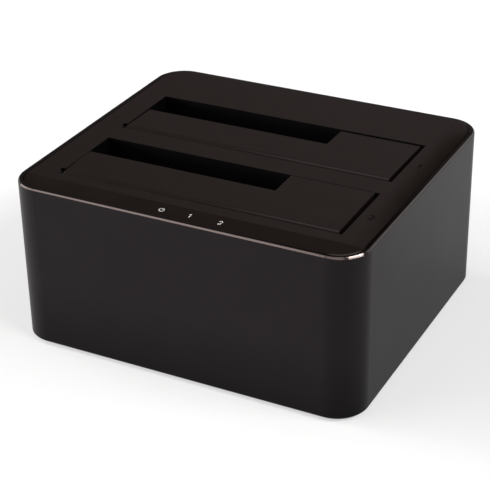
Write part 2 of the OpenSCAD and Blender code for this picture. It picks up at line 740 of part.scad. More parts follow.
z_led_top = z_led_board + led_board_t + led_size[2];
module indicator_leds() color("white")
    for (i = LEDS)
        translate([led_x + i * led_pitch, led_y, z_led_board + led_board_t])
            translate([-led_size[0] / 2, -led_size[1] / 2, 0]) cube(led_size);

// Light pipe from its lamp up into the panel, with a collar under the panel
module light_pipe(i) color([0.9, 0.9, 0.9, 0.6]) translate([led_x + i * led_pitch, led_y, 0]) {
    translate([0, 0, z_led_top]) cylinder(h = z_pipe_top - z_led_top, r = pipe_r);
    translate([0, 0, z_panel - pipe_collar_t]) cylinder(h = pipe_collar_t, r = pipe_collar_r);
}

// Flat cable from the indicator board down to the main board
ribbon_y = led_board_mid;
z_ribbon_in = z_board_top + header_h / 2;
y_header = board_front + header_d + 1;
module led_cable() color([0.2, 0.2, 0.22])
    for (i = [0 : ribbon_wires - 1])
        translate([led_x + (i - (ribbon_wires - 1) / 2) * ribbon_pitch - ribbon_w / 2, 0, 0])
            rotate([90, 0, 90]) linear_extrude(ribbon_w) ribbon_run();

module ribbon_run() {
    top = z_led_board - header_h;
    translate([ribbon_y - ribbon_t / 2, z_ribbon_in + ribbon_bend])
        square([ribbon_t, top - z_ribbon_in - ribbon_bend]);
    translate([ribbon_y + ribbon_bend, z_ribbon_in + ribbon_bend])
        intersection() {
            difference() {
                circle(ribbon_bend + ribbon_t / 2);
                circle(ribbon_bend - ribbon_t / 2);
            }
            translate([-2 * ribbon_bend, -2 * ribbon_bend]) square(2 * ribbon_bend);
        }
    translate([ribbon_y + ribbon_bend, z_ribbon_in - ribbon_t / 2])
        square([y_header - header_d - ribbon_y - ribbon_bend, ribbon_t]);
}

module led_board_header() color("ivory")
    translate([led_x - header_w / 2, led_board_mid - header_d / 2, z_led_board - header_h])
        cube([header_w, header_d, header_h]);

module main_board_header() color("ivory")
    translate([led_x - header_w / 2, y_header - header_d, z_board_top]) cube([header_w, header_d, header_h]);

// Fasteners
module base_screws() color("silver")
    for (p = POSTS) translate([p[0], p[1], z_body + base_screw[1] + screw_sink]) screw(base_screw);
module board_screws() color("silver")
    for (s = STANDOFFS) translate([s[0], s[1], z_board_top]) rotate([180, 0, 0]) screw(board_screw);
module panel_screws() color("silver")
    for (b = BOSSES) translate([b[0], b[1], z_flange]) screw(panel_screw);
module led_board_screws() color("silver")
    for (s = LED_SCREWS)
        translate([s[0], s[1], z_led_board + led_board_t]) rotate([180, 0, 0]) screw(led_screw);

// Rubber foot with a rounded lower edge, seated in the base
module foot(sx, sy) color([0.12, 0.12, 0.12]) translate([sx * foot_x, sy * foot_y, 0]) {
    cylinder(h = foot_lip, r1 = foot_r - foot_lip, r2 = foot_r);
    translate([0, 0, foot_lip]) cylinder(h = foot_h + foot_seat - foot_lip, r = foot_r);
}

outer_sleeve();
top_panel();
drive_cradle();
base_plate();
flap(REAR);  // rear_flap
flap(FRONT);  // front_flap
flap_pin(REAR);  // rear_flap_pin
flap_pin(FRONT);  // front_flap_pin
flap_spring(REAR);  // rear_flap_spring
flap_spring(FRONT);  // front_flap_spring
main_board();
sata_socket(REAR);  // rear_sata_socket
sata_socket(FRONT);  // front_sata_socket
sata_contacts(REAR);  // rear_sata_contacts
sata_contacts(FRONT);  // front_sata_contacts
bridge_chip();
memory_chip();
crystal();
power_inductors();
electrolytic_capacitors();
regulator_chips();
ceramic_capacitors();
usb_shell();
usb_insert();
usb_contacts();
dc_jack();
dc_jack_pin();
power_button();
switch_plunger();
switch_body();
switch_spring();
led_board();
indicator_leds();
light_pipe(-1);  // power_light_pipe
light_pipe(0);  // rear_bay_light_pipe
light_pipe(1);  // front_bay_light_pipe
led_cable();
led_board_header();
main_board_header();
base_screws();
board_screws();
panel_screws();
led_board_screws();
foot(-1, -1);  // foot_front_left
foot(1, -1);  // foot_front_right
foot(-1, 1);  // foot_rear_left
foot(1, 1);  // foot_rear_right
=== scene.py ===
"""Looks of a two-bay docking station for hard drives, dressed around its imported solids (metres)."""

import json
import math

import bmesh
import bpy
from mathutils import Matrix, Vector


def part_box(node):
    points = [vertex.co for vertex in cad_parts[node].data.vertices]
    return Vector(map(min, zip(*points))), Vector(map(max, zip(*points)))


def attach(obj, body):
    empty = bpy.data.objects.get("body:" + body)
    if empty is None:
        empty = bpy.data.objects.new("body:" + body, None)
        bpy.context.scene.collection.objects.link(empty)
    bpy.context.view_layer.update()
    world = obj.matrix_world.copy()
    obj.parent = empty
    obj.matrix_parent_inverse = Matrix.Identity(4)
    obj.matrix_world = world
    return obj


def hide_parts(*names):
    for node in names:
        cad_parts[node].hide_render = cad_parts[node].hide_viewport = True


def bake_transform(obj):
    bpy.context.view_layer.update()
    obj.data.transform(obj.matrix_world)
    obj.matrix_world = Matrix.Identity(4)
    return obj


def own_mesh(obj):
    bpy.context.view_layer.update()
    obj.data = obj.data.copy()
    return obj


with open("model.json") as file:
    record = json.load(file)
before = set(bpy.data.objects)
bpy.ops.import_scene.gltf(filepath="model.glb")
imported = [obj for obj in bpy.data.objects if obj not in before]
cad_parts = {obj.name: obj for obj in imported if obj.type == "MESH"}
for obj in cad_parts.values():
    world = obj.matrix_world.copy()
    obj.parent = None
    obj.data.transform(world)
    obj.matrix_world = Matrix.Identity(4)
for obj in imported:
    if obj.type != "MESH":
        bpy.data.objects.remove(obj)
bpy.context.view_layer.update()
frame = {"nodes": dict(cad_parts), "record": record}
nodes = frame["nodes"]
MM = 0.001
Z_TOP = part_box("outer_sleeve")[1][2]

# Camera at the photograph's angle: where it aims, and its focal length in pixels of the frame
FRAME_PX = 490
FOCAL_PX = 1513.15
CAMERA_AZIMUTH = 27.565
CAMERA_ELEVATION = 28.717
CAMERA_ROLL = -1.095
CAMERA_DISTANCE = 547.886 * MM
AIM_RIGHT = -3.179 * MM
AIM_UP = 24.42 * MM
SENSOR = 36.0


def make_camera():
    azimuth = math.radians(CAMERA_AZIMUTH)
    elevation = math.radians(CAMERA_ELEVATION)
    right = Vector((math.cos(azimuth), math.sin(azimuth), 0))
    level = math.cos(elevation)
    back = Vector((math.sin(azimuth) * level, -math.cos(azimuth) * level, math.sin(elevation)))
    upright = Matrix((right, back.cross(right), back)).transposed()
    turn = upright @ Matrix.Rotation(math.radians(CAMERA_ROLL), 3, "Z")
    lens = bpy.data.cameras.new("camera")
    lens.sensor_width = SENSOR
    lens.lens = SENSOR * FOCAL_PX / FRAME_PX
    lens.clip_start = 0.01
    camera = bpy.data.objects.new("camera", lens)
    bpy.context.scene.collection.objects.link(camera)
    place = right * AIM_RIGHT + Vector((0, 0, AIM_UP)) + back * CAMERA_DISTANCE
    camera.matrix_world = Matrix.Translation(place) @ turn.to_4x4()
    bpy.context.scene.camera = camera


make_camera()
bpy.context.scene.view_settings.view_transform = "Standard"


# Node helpers
class Tree:
    """Adds nodes to a node tree and links them."""

    def __init__(self, owner):
        owner.use_nodes = True
        self.tree = owner.node_tree

    def add(self, kind, inputs=None, **settings):
        node = self.tree.nodes.new(kind)
        for name, value in settings.items():
            setattr(node, name, value)
        for name, value in (inputs or {}).items():
            self.put(node.inputs[name], value)
        return node

    def put(self, socket, value):
        if isinstance(value, bpy.types.NodeSocket):
            self.tree.links.new(value, socket)
        else:
            socket.default_value = value

    def ramp(self, factor, stops):
        """Colour ramp over (place, colour) stops."""
        node = self.add("ShaderNodeValToRGB", {"Fac": factor})
        ramp = node.color_ramp
        while len(ramp.elements) < len(stops):
            ramp.elements.new(0.5)
        for element, (place, colour) in zip(ramp.elements, stops):
            element.position = place
            element.color = (*colour, 1)
        return node.outputs["Color"]

    def noise(self, vector, size, detail):
        """Noise whose spots are about the given size in metres."""
        inputs = {"Vector": vector, "Scale": 1 / size, "Detail": detail}
        return self.add("ShaderNodeTexNoise", inputs).outputs["Fac"]

    def span(self, value, low, high, start, end):
        """Value taken from the range start to end onto the range low to high."""
        node = self.add("ShaderNodeMapRange", {"Value": value, "From Min": start, "From Max": end,
                                               "To Min": low, "To Max": high})
        return node.outputs["Result"]

    def math(self, operation, *values):
        node = self.add("ShaderNodeMath", operation=operation)
        for socket, value in zip(node.inputs, values):
            self.put(socket, value)
        return node.outputs["Value"]

    def mix(self, factor, first, second, blend="MIX"):
        """Mix of two colours."""
        node = self.add("ShaderNodeMix", data_type="RGBA", blend_type=blend)
        self.put(node.inputs["Factor"], factor)
        for socket, value in zip([s for s in node.inputs if s.type == "RGBA"], (first, second)):
            self.put(socket, value if isinstance(value, bpy.types.NodeSocket) else (*value, 1))
        return next(s for s in node.outputs if s.type == "RGBA")

    def bump(self, height, distance):
        node = self.add("ShaderNodeBump", {"Height": height, "Distance": distance})
        return node.outputs["Normal"]


def grey(level):
    return (level, level, level)


# Stage: pale floor, soft world and softboxes. FLOOR_WHITE is the share of plain white that the
# camera and reflections see in the floor. The world's ramps go by the height of a direction (0 is
# level, 1 straight up), and WALL_GLOW goes by its place across (0 is left, 1 right).
FLOOR_SIZE = 12.0
FLOOR_COLOUR = (0.68, 0.68, 0.68, 1)
FLOOR_ROUGHNESS = 0.9
FLOOR_WHITE = 0.5
WORLD_STRENGTH = 2.0
HORIZON = [(0.0, grey(0.39)), (0.10, grey(0.375)), (0.20, grey(0.0))]
WALL = [(0.10, grey(0.0)), (0.20, grey(0.72)), (0.42, grey(0.70)),
        (0.48, grey(1.1)), (0.50, grey(1.12)), (0.54, grey(0.0))]
WALL_GLOW = [(0.225, grey(0.047)), (0.34, grey(0.100)), (0.36, grey(0.097)), (0.405, grey(0.0))]
CEILING = [(0.60, grey(0.01)), (0.74, grey(0.10))]
WORLD_TINT = (1.0, 0.86, 0.87)
LAMP_DISTANCE = 3.0
WARM_WHITE = (1.0, 0.98, 0.97)


def floor_finish():
    """Matt white, with plain white mixed in where the camera or a reflection sees it."""
    material = bpy.data.materials.new("floor")
    t = Tree(material)
    t.tree.nodes.clear()
    matt = t.add("ShaderNodeBsdfDiffuse", {"Color": FLOOR_COLOUR, "Roughness": FLOOR_ROUGHNESS})
    white = t.add("ShaderNodeEmission", {"Color": (1, 1, 1, 1), "Strength": 1.0})
    path = t.add("ShaderNodeLightPath").outputs
    reflected = t.math("ADD", path["Is Glossy Ray"], path["Is Transmission Ray"])
    seen = t.math("ADD", path["Is Camera Ray"], reflected)
    share = t.math("MULTIPLY", t.math("MINIMUM", seen, 1.0), FLOOR_WHITE)
    mix = t.add("ShaderNodeMixShader", {0: share, 1: matt.outputs[0], 2: white.outputs[0]})
    t.add("ShaderNodeOutputMaterial", {"Surface": mix.outputs[0]})
    return material


def make_floor():
    half = FLOOR_SIZE / 2
    corners = [(-half, -half, 0), (half, -half, 0), (half, half, 0), (-half, half, 0)]
    mesh = bpy.data.meshes.new("floor")
    mesh.from_pydata(corners, [], [(0, 1, 2, 3)])
    mesh.materials.append(floor_finish())
    floor = bpy.data.objects.new("floor", mesh)
    bpy.context.scene.collection.objects.link(floor)


def make_world():
    world = bpy.data.worlds.new("studio")
    bpy.context.scene.world = world
    t = Tree(world)
    direction = t.add("ShaderNodeTexCoord").outputs["Generated"]
    parts = t.add("ShaderNodeSeparateXYZ", {"Vector": direction}).outputs
    across = t.span(parts["X"], 0.0, 1.0, -1.0, 1.0)
    wall = t.math("MULTIPLY", t.ramp(parts["Z"], WALL), t.ramp(across, WALL_GLOW))
    light = t.math("ADD", wall, t.ramp(parts["Z"], CEILING))
    soft = t.mix(light, grey(0.0), WORLD_TINT)
    background = t.tree.nodes["Background"]
    t.put(background.inputs["Color"], t.mix(1.0, soft, t.ramp(parts["Z"], HORIZON), "ADD"))
    t.put(background.inputs["Strength"], WORLD_STRENGTH)


def make_lamp(name, direction, size, radiance, colour=(1, 1, 1), roll=0):
    """Softbox (width, height) that faces the object; radiance is how bright its face is."""
    lamp = bpy.data.lights.new(name, "AREA")
    lamp.shape = "RECTANGLE"
    lamp.size, lamp.size_y = size
    lamp.energy = radiance * math.pi * size[0] * size[1]
    lamp.color = colour
    lamp_object = bpy.data.objects.new(name, lamp)
    bpy.context.scene.collection.objects.link(lamp_object)
    way = Vector(direction).normalized()
    lamp_object.location = way * LAMP_DISTANCE
    turn = way.to_track_quat("Z", "Y").to_matrix() @ Matrix.Rotation(math.radians(roll), 3, "Z")
    lamp_object.rotation_euler = turn.to_euler()


make_floor()
make_world()
# General light: from the left, from above, and low from the front left
make_lamp("left", (-1.2, 0.0, 1.0), (1.5, 1.2), 13.0)
make_lamp("overhead", (0.0, 0.35, 1.0), (2.64, 1.9), 0.9)
make_lamp("fill", (-0.90, -0.42, 0.12), (2.4, 0.7), 36.0)
# The bright line in the front rim, its end round the left corner, and the rim's near corner
make_lamp("key", (-0.65, -0.49, 0.57), (2.5, 0.6), 4.6, WARM_WHITE, roll=25)
make_lamp("rim_end", (-0.9455, -0.1075, 0.307), (1.2, 0.6), 4.6, WARM_WHITE, roll=32)
make_lamp("corner", (0.15, -0.64, 0.755), (2.4, 0.9), 2.2, (1.0, 0.97, 0.95))
# From the right: a narrow bright box, and a soft one behind
make_lamp("side", (0.72, 0.0, 0.66), (2.1, 0.26), 42.0, roll=-24)
make_lamp("right", (0.553, 0.777, 0.30), (2.0, 1.0), 1.1, (0.94, 0.98, 1.0))


# Materials: sizes of the slow spots of tone and gloss, and the range that noise mostly keeps to
TONE_SPOT = 9 * MM
GLOSS_SPOT = 14 * MM
NOISE_LOW = 0.3
NOISE_HIGH = 0.7
METAL_GRAIN = 0.2 * MM
METAL_RELIEF = 0.004 * MM
METAL_CHANGE = 0.06


def plastic(name, dark, light, roughness, grain=0.3 * MM, relief=0.008 * MM, ior=1.4, change=0.012):
    """Moulded or coated surface: a fine grain, and slow changes of tone and of gloss."""
    material = bpy.data.materials.new(name)
    t = Tree(material)
    shader = t.tree.nodes["Principled BSDF"]
    place = t.add("ShaderNodeTexCoord").outputs["Object"]
    fine = t.noise(place, grain, 2)
    slow = t.noise(place, TONE_SPOT, 4)
    tone = t.math("ADD", t.math("MULTIPLY", slow, 0.6), t.math("MULTIPLY", fine, 0.4))
    gloss = t.noise(place, GLOSS_SPOT, 3)
    t.put(shader.inputs["Base Color"], t.ramp(tone, [(0.35, dark), (0.65, light)]))
    t.put(shader.inputs["Roughness"],
          t.span(gloss, roughness - change, roughness + change, NOISE_LOW, NOISE_HIGH))
    t.put(shader.inputs["Normal"], t.bump(fine, relief))
    shader.inputs["IOR"].default_value = ior
    return material


def metal(name, dark, light, roughness):
    """Bare metal with a fine grain."""
    material = bpy.data.materials.new(name)
    t = Tree(material)
    shader = t.tree.nodes["Principled BSDF"]
    place = t.add("ShaderNodeTexCoord").outputs["Object"]
    fine = t.noise(place, METAL_GRAIN, 3)
    t.put(shader.inputs["Base Color"], t.ramp(fine, [(NOISE_LOW, dark), (NOISE_HIGH, light)]))
    t.put(shader.inputs["Roughness"],
          t.span(fine, roughness - METAL_CHANGE, roughness + METAL_CHANGE, NOISE_LOW, NOISE_HIGH))
    t.put(shader.inputs["Normal"], t.bump(fine, METAL_RELIEF))
    shader.inputs["Metallic"].default_value = 1.0
    return material


# Painted shade near the floor: how far the coat's colour darkens at its foot, and the height where
# that stops
PAINTED_FOOT_SHADE = 0.65
PAINTED_FOOT_SHADE_TOP = 26 * MM


def sleeve_coat(name):
    """Dark satin coat, with painted shade that darkens it towards its foot."""
    material = plastic(name, (0.0078, 0.0061, 0.0069), (0.0090, 0.0071, 0.0081), 0.36,
                       grain=0.12 * MM, relief=0.003 * MM, ior=1.17, change=0.006)
    t = Tree(material)
    shader = t.tree.nodes["Principled BSDF"]
    place = t.add("ShaderNodeTexCoord").outputs["Object"]
    height = t.add("ShaderNodeSeparateXYZ", {"Vector": place}).outputs["Z"]
    # Painted shade: the colour darkens towards the foot, in place of the shadow near the floor
    painted_shade = t.span(height, PAINTED_FOOT_SHADE, 0.0, 0.0, PAINTED_FOOT_SHADE_TOP)
    coat_colour = shader.inputs["Base Color"].links[0].from_socket
    t.put(shader.inputs["Base Color"], t.mix(painted_shade, coat_colour, grey(0.0)))
    return material


TRACK_PITCH = 3 * MM
TRACK_WIDTH = 0.06
TRACK_PATCH = 12 * MM
TRACK_RISE = 0.03 * MM


def circuit_board(name):
    """Green solder mask over copper tracks."""
    material = plastic(name, (0.004, 0.030, 0.012), (0.006, 0.038, 0.016), 0.35,
                       grain=0.4 * MM, relief=0.006 * MM)
    t = Tree(material)
    shader = t.tree.nodes["Principled BSDF"]
    place = t.add("ShaderNodeTexCoord").outputs["Object"]
    bricks = {"Vector": place, "Scale": 1 / TRACK_PITCH, "Mortar Size": TRACK_WIDTH}
    tracks = t.add("ShaderNodeTexBrick", bricks, offset=0.35, squash=0.6).outputs["Fac"]
    patch = t.span(t.noise(place, TRACK_PATCH, 1), 0.0, 1.0, 0.45, 0.55)
    copper = t.math("MULTIPLY", tracks, patch)
    mask_colour = shader.inputs["Base Color"].links[0].from_socket
    t.put(shader.inputs["Base Color"], t.mix(copper, mask_colour, (0.012, 0.075, 0.030)))
    t.put(shader.inputs["Normal"], t.bump(copper, TRACK_RISE))
    return material


def clear_plastic(name):
    """Clear moulding with faint flow lines."""
    material = plastic(name, grey(0.86), grey(0.93), 0.08, 0.6 * MM, 0.004 * MM, 1.49)
    material.node_tree.nodes["Principled BSDF"].inputs["Transmission Weight"].default_value = 0.95
    return material


MATERIALS = {
    "sleeve": sleeve_coat("sleeve"),
    "top_plastic": plastic("top_plastic", (0.0062, 0.0042, 0.0036), (0.0072, 0.0050, 0.0044), 0.15,
                           grain=0.12 * MM, relief=0.0012 * MM, ior=1.3, change=0.006),
    "inner_plastic": plastic("inner_plastic", grey(0.0010), grey(0.0016), 0.8, ior=1.08),
    "base_plastic": plastic("base_plastic", grey(0.007), grey(0.011), 0.5, 0.5 * MM, 0.03 * MM),
    "button_plastic": plastic("button_plastic", grey(0.008), grey(0.012), 0.4),
    "steel": metal("steel", grey(0.45), grey(0.6), 0.25),
    "dark_steel": metal("dark_steel", grey(0.05), grey(0.08), 0.35),
    "screw_steel": metal("screw_steel", grey(0.03), grey(0.06), 0.4),
    "board": circuit_board("board"),
    "socket_plastic": plastic("socket_plastic", grey(0.006), grey(0.01), 0.45),
    "contact_gold": metal("contact_gold", (0.65, 0.42, 0.1), (0.8, 0.55, 0.18), 0.25),
    "chip_resin": plastic("chip_resin", grey(0.006), grey(0.01), 0.5),
    "ferrite": plastic("ferrite", grey(0.03), grey(0.05), 0.6),
    "can_aluminium": metal("can_aluminium", grey(0.5), grey(0.65), 0.3),
    "ceramic": plastic("ceramic", (0.3, 0.2, 0.1), (0.4, 0.28, 0.15), 0.5),
    "port_plastic": plastic("port_plastic", (0.003, 0.02, 0.2), (0.006, 0.035, 0.3), 0.35),
    "jack_plastic": plastic("jack_plastic", grey(0.005), grey(0.008), 0.45),
    "white_plastic": plastic("white_plastic", (0.6, 0.57, 0.48), (0.68, 0.65, 0.57), 0.45),
    "lamp": plastic("lamp", grey(0.52), grey(0.60), 0.3),
    "light_pipe": clear_plastic("light_pipe"),
    "cable": plastic("cable", grey(0.05), grey(0.07), 0.5),
    "foot_rubber": plastic("foot_rubber", grey(0.008), grey(0.014), 0.7, 0.4 * MM, 0.05 * MM),
}
RIM_METAL = metal("rim_metal", (0.060, 0.048, 0.045), (0.064, 0.052, 0.049), 0.16)
SLOT_OF = {part["node"]: part["material_slot"] for part in frame["record"]["subparts"]}


# Shapes
EDGE_STEPS = 2
SHARP_ANGLE = math.radians(30)
FLAT_ANGLE = math.radians(0.5)
WELD_DISTANCE = 0.001 * MM


def round_edges(thing, width):
    """Rounds the sharp edges and smooths the curved faces."""
    bevel = thing.modifiers.new("bevel", "BEVEL")
    bevel.width = width
    bevel.segments = EDGE_STEPS
    bevel.limit_method = "ANGLE"
    bevel.angle_limit = SHARP_ANGLE
    bevel.miter_outer = "MITER_ARC"
    normals = thing.modifiers.new("normals", "WEIGHTED_NORMAL")
    normals.weight = 100
    normals.keep_sharp = True


def soften(node, width):
    """Joins a solid's triangles into whole faces and rounds the edges, by modifiers alone."""
    weld = node.modifiers.new("weld", "WELD")
    weld.merge_threshold = WELD_DISTANCE
    flat = node.modifiers.new("flat", "DECIMATE")
    flat.decimate_type = "DISSOLVE"
    flat.angle_limit = FLAT_ANGLE
    round_edges(node, width)


def add_piece(name, mesh, slot, body="housing"):
    """Puts a mesh into the scene as a piece that moves with a body and wears a slot's finish."""
    mesh.materials.clear()
    mesh.materials.append(MATERIALS[slot])
    piece = bpy.data.objects.new(name, mesh)
    bpy.context.scene.collection.objects.link(piece)
    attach(piece, body)
    return piece


def to_mesh(bm, name):
    """Turns a finished edit into a mesh."""
    mesh = bpy.data.meshes.new(name)
    bm.to_mesh(mesh)
    bm.free()
    return mesh


def add_finish(piece, material, picks):
    """Gives a second material to the faces whose pick is true."""
    piece.data.materials.append(material)
    for face, picked in zip(piece.data.polygons, picks):
        face.material_index = 1 if picked else 0


def clamp(share):
    return min(max(share, 0), 1)


def ease(share):
    """Share that starts and ends slowly."""
    return share ** 2 * (3 - 2 * share)


# Sleeve: its chamfer is steeper than the solid's, and on the right the rim opens and leans outwards
SLEEVE_SIDE, SLEEVE_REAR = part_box("outer_sleeve")[1][:2]
CORNER_RADIUS = 11.2 * MM
CHAMFER = 0.7 * MM
CHAMFER_ZONE = 1.2 * CHAMFER
CHAMFER_CUT = 0.24 * MM
RIM_DEPTH = 0.57 * MM
RIM_DEPTH_RIGHT = 1.0 * MM
RIM_LEAN = 0.14 * MM
RIM_FLOOR = 1.2 * MM
RIM_WIDTH = 1.8 * MM
RIM_MIN_UP = 0.3
SLEEVE_ROUND = 0.1 * MM
NEAR = 0.1 * MM
# Where the right side's rim starts along x and ends along y, and the length of the change
RIGHT_START = 50 * MM
RIGHT_END = 50 * MM
RIGHT_BLEND = 10 * MM


def edge_way(x, y):
    """Distance of a place from the sleeve's outer wall, and the way to that wall."""
    across = abs(x) - (SLEEVE_SIDE - CORNER_RADIUS)
    along = abs(y) - (SLEEVE_REAR - CORNER_RADIUS)
    if across > 0 and along > 0:
        way = Vector((across, along))
        depth = CORNER_RADIUS - way.length
    else:
        way = Vector((1, 0)) if across > along else Vector((0, 1))
        depth = CORNER_RADIUS - max(across, along)
    way.normalize()
    return depth, Vector((math.copysign(way.x, x), math.copysign(way.y, y)))


def on_right(x, y):
    """Share by which a place belongs to the right side: none along the other sides."""
    return clamp((x - RIGHT_START) / RIGHT_BLEND) * clamp((RIGHT_END - y) / RIGHT_BLEND)


def shape_rim(bm):
    """Moves the upper and the lower corners of the chamfer."""
    for vert in bm.verts:
        depth, way = edge_way(vert.co.x, vert.co.y)
        right = on_right(vert.co.x, vert.co.y)
        if vert.co.z > Z_TOP - NEAR and depth < CHAMFER_ZONE:
            vert.co.xy += way * CHAMFER_CUT * (1 - right)
            vert.co.z -= RIM_LEAN * right
        elif vert.co.z > Z_TOP - CHAMFER_ZONE and depth < NEAR:
            vert.co.z = Z_TOP - RIM_DEPTH - (RIM_DEPTH_RIGHT - RIM_DEPTH) * right
    bm.normal_update()


def is_rim(face):
    """True for the faces of bare metal: the chamfer and the rim's top."""
    return face.normal.z > RIM_MIN_UP and face.calc_center_median().z > Z_TOP - RIM_FLOOR


def make_sleeve():
    bm = bmesh.new()
    bm.from_mesh(nodes["outer_sleeve"].data)
    shape_rim(bm)
    rims = [is_rim(face) for face in bm.faces]
    sleeve = add_piece("sleeve_rimmed", to_mesh(bm, "sleeve_rimmed"), "sleeve")
    add_finish(sleeve, RIM_METAL, rims)
    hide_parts("outer_sleeve")
    soften(sleeve, SLEEVE_ROUND)
    # The rounded edges wear the coat
    sleeve.modifiers["bevel"].material = 0


# Top panel: its right border falls away a little towards the rim, and less so near the ends
PANEL_SIDE, PANEL_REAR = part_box("top_panel")[1][:2]
CROWN_DROP = 0.76 * MM
CROWN_REACH = 10 * MM
CROWN_FADE = 22 * MM
CROWN_FADE_FRONT = 50 * MM
CROWN_FRONT_SHARE = 0.4
CROWN_STEP = 1 * MM
FADE_STEP = 2 * MM
FADE_STEP_FRONT = 4 * MM
CROWN_SKIN = 1.2 * MM
CUT_DISTANCE = 0.0001 * MM
SAME_PLACE = 0.01 * MM
BAY_INSET = 5 * MM
WALL_MAX_UP = 0.3
PANEL_ROUND = 0.06 * MM
STRIP_DEPTH = 10.1 * MM
STRIP_DROP = 0.5 * MM
STRIP_FALL = 0.25 * MM
STRIP_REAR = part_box("outer_sleeve")[0][1] + STRIP_DEPTH
EDGE_DROP = 0.3 * MM
EDGE_FILL = 0.26 * MM


def fade(y):
    """Share of the right border's fall that is left along the panel: none at its rear edge."""
    rear = ease(clamp((PANEL_REAR - y) / CROWN_FADE))
    front = ease(clamp((PANEL_REAR + y) / CROWN_FADE_FRONT))
    return rear * (CROWN_FRONT_SHARE + (1 - CROWN_FRONT_SHARE) * front)


def crown(x, y):
    """Fall of the panel at a place: at its right border, and more slope for the strip."""
    share = max(1 - (PANEL_SIDE - x) / CROWN_REACH, 0)
    strip = max((STRIP_REAR - y) / STRIP_DEPTH, 0)
    return CROWN_DROP * share ** 2 * fade(y) + STRIP_FALL * strip


def cut_across(bm, place, way):
    """Cuts the faces along a plane, so that they can bend there."""
    everything = bm.verts[:] + bm.edges[:] + bm.faces[:]
    bmesh.ops.bisect_plane(bm, geom=everything, plane_co=place, plane_no=way, dist=CUT_DISTANCE)


def is_shaded_bay_wall(face):
    """True for the upright faces around the bays, which wear a near-black finish as painted shade, as
    dark as the bays.
    """
    middle = face.calc_center_median()
    inside = abs(middle.x) < PANEL_SIDE - BAY_INSET and abs(middle.y) < PANEL_REAR - BAY_INSET
    face.normal_update()
    return inside and abs(face.normal.z) < WALL_MAX_UP


def cut_panel(bm):
    """Joins the panel's triangles into whole faces, then cuts them where they have to bend."""
    bmesh.ops.remove_doubles(bm, verts=bm.verts, dist=WELD_DISTANCE)
    bmesh.ops.dissolve_limit(bm, angle_limit=FLAT_ANGLE, verts=bm.verts, edges=bm.edges)
    for i in range(1, round(CROWN_REACH / CROWN_STEP) + 1):
        cut_across(bm, (PANEL_SIDE - i * CROWN_STEP, 0, 0), (1, 0, 0))
    for i in range(1, round(CROWN_FADE / FADE_STEP) + 1):
        cut_across(bm, (0, PANEL_REAR - i * FADE_STEP, 0), (0, 1, 0))
    for i in range(1, int(CROWN_FADE_FRONT / FADE_STEP_FRONT) + 1):
        cut_across(bm, (0, i * FADE_STEP_FRONT - PANEL_REAR, 0), (0, 1, 0))


def bend_panel(bm):
    """Raises the lowered edge towards the rear, then lets the skin fall."""
    for vert in bm.verts:
        if abs(vert.co.z - (Z_TOP - EDGE_DROP)) < SAME_PLACE and vert.co.y > 0:
            vert.co.z += EDGE_FILL * (1 - fade(vert.co.y))
        if vert.co.z > Z_TOP - CROWN_SKIN:
            vert.co.z -= crown(vert.co.x, vert.co.y)


def smooth_panel(bm):
    """Smooths the bent faces, with a crease where the strip begins."""
    for edge in bm.edges:
        if all(abs(vert.co.y - STRIP_REAR) < SAME_PLACE for vert in edge.verts):
            edge.smooth = False
    for face in bm.faces:
        face.smooth = True


def make_panel():
    bm = bmesh.new()
    bm.from_mesh(nodes["top_panel"].data)
    cut_panel(bm)
    bend_panel(bm)
    smooth_panel(bm)
    # Painted shade: the upright walls of the bays wear the near-black inner finish instead of the
    # panel's own
    shaded_walls = [is_shaded_bay_wall(face) for face in bm.faces]
    panel = add_piece("panel_crowned", to_mesh(bm, "panel_crowned"), "top_plastic")
    add_finish(panel, MATERIALS["inner_plastic"], shaded_walls)
    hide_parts("top_panel")
    round_edges(panel, PANEL_ROUND)


# Marks: lines of even width, drawn in shares of a mark's height and laid on as thin solids
def arc(centre, radius, start, end, steps=20):
    """Points along an arc, with the angles in degrees."""
    def on_arc(angle):
        return Vector((centre[0] + radius * math.cos(angle), centre[1] + radius * math.sin(angle)))

    angles = [math.radians(start + (end - start) * i / steps) for i in range(steps + 1)]
    return [on_arc(angle) for angle in angles]


POWER_SIGN = [arc((0, 0), 0.42, 125, 415), [Vector((0, 0.06)), Vector((0, 0.56))]]
ONE = [[Vector((-0.19, 0.27)), Vector((0.06, 0.5)), Vector((0.06, -0.5))]]
TWO = [arc((0, 0.22), 0.27, 165, -35, 14) + [Vector((-0.27, -0.46)), Vector((0.30, -0.46))]]


def add_line(bm, points, width, place):
    """Adds a flat bar along the points; place takes (across, along, level 0 or 1) into space."""
    rings = []
    for i, point in enumerate(points):
        before = points[max(i - 1, 0)]
        after = points[min(i + 1, len(points) - 1)]
        way = ((point - before).normalized() + (after - point).normalized()).normalized()
        reach = after - point if i == 0 else point - before
        side = Vector((-way.y, way.x)) * width / 2 / max(way.dot(reach.normalized()), 0.5)
        corners = ((point + side, 1), (point - side, 1), (point - side, 0), (point + side, 0))
        rings.append([bm.verts.new(place(c.x, c.y, level)) for c, level in corners])
    for near, far in zip(rings, rings[1:]):
        for k in range(4):
            bm.faces.new((near[k], near[(k + 1) % 4], far[(k + 1) % 4], far[k]))
    bm.faces.new(rings[0][::-1])
    bm.faces.new(rings[-1])


def make_mark(name, lines, width, place, slot, body="housing"):
    bm = bmesh.new()
    for points in lines:
        add_line(bm, points, width, place)
    bmesh.ops.recalc_face_normals(bm, faces=bm.faces)
    return add_piece(name, to_mesh(bm, name), slot, body)


# Lip: a thin line along the inner edge of the rim, on the right
LIP_WIDTH = 0.35 * MM
LIP_RISE = 0.127 * MM
LIP_SINK = 0.045 * MM


def on_rim(x, y, level):
    """Places the lip's points along the rim's inner edge, where the lip's face slopes outwards."""
    share = (edge_way(x, y)[0] - RIM_WIDTH + LIP_WIDTH) / LIP_WIDTH
    rise = (LIP_RISE * share - LIP_SINK) * on_right(x, y)
    return (x, y, Z_TOP + rise if level else Z_TOP - RIM_FLOOR)


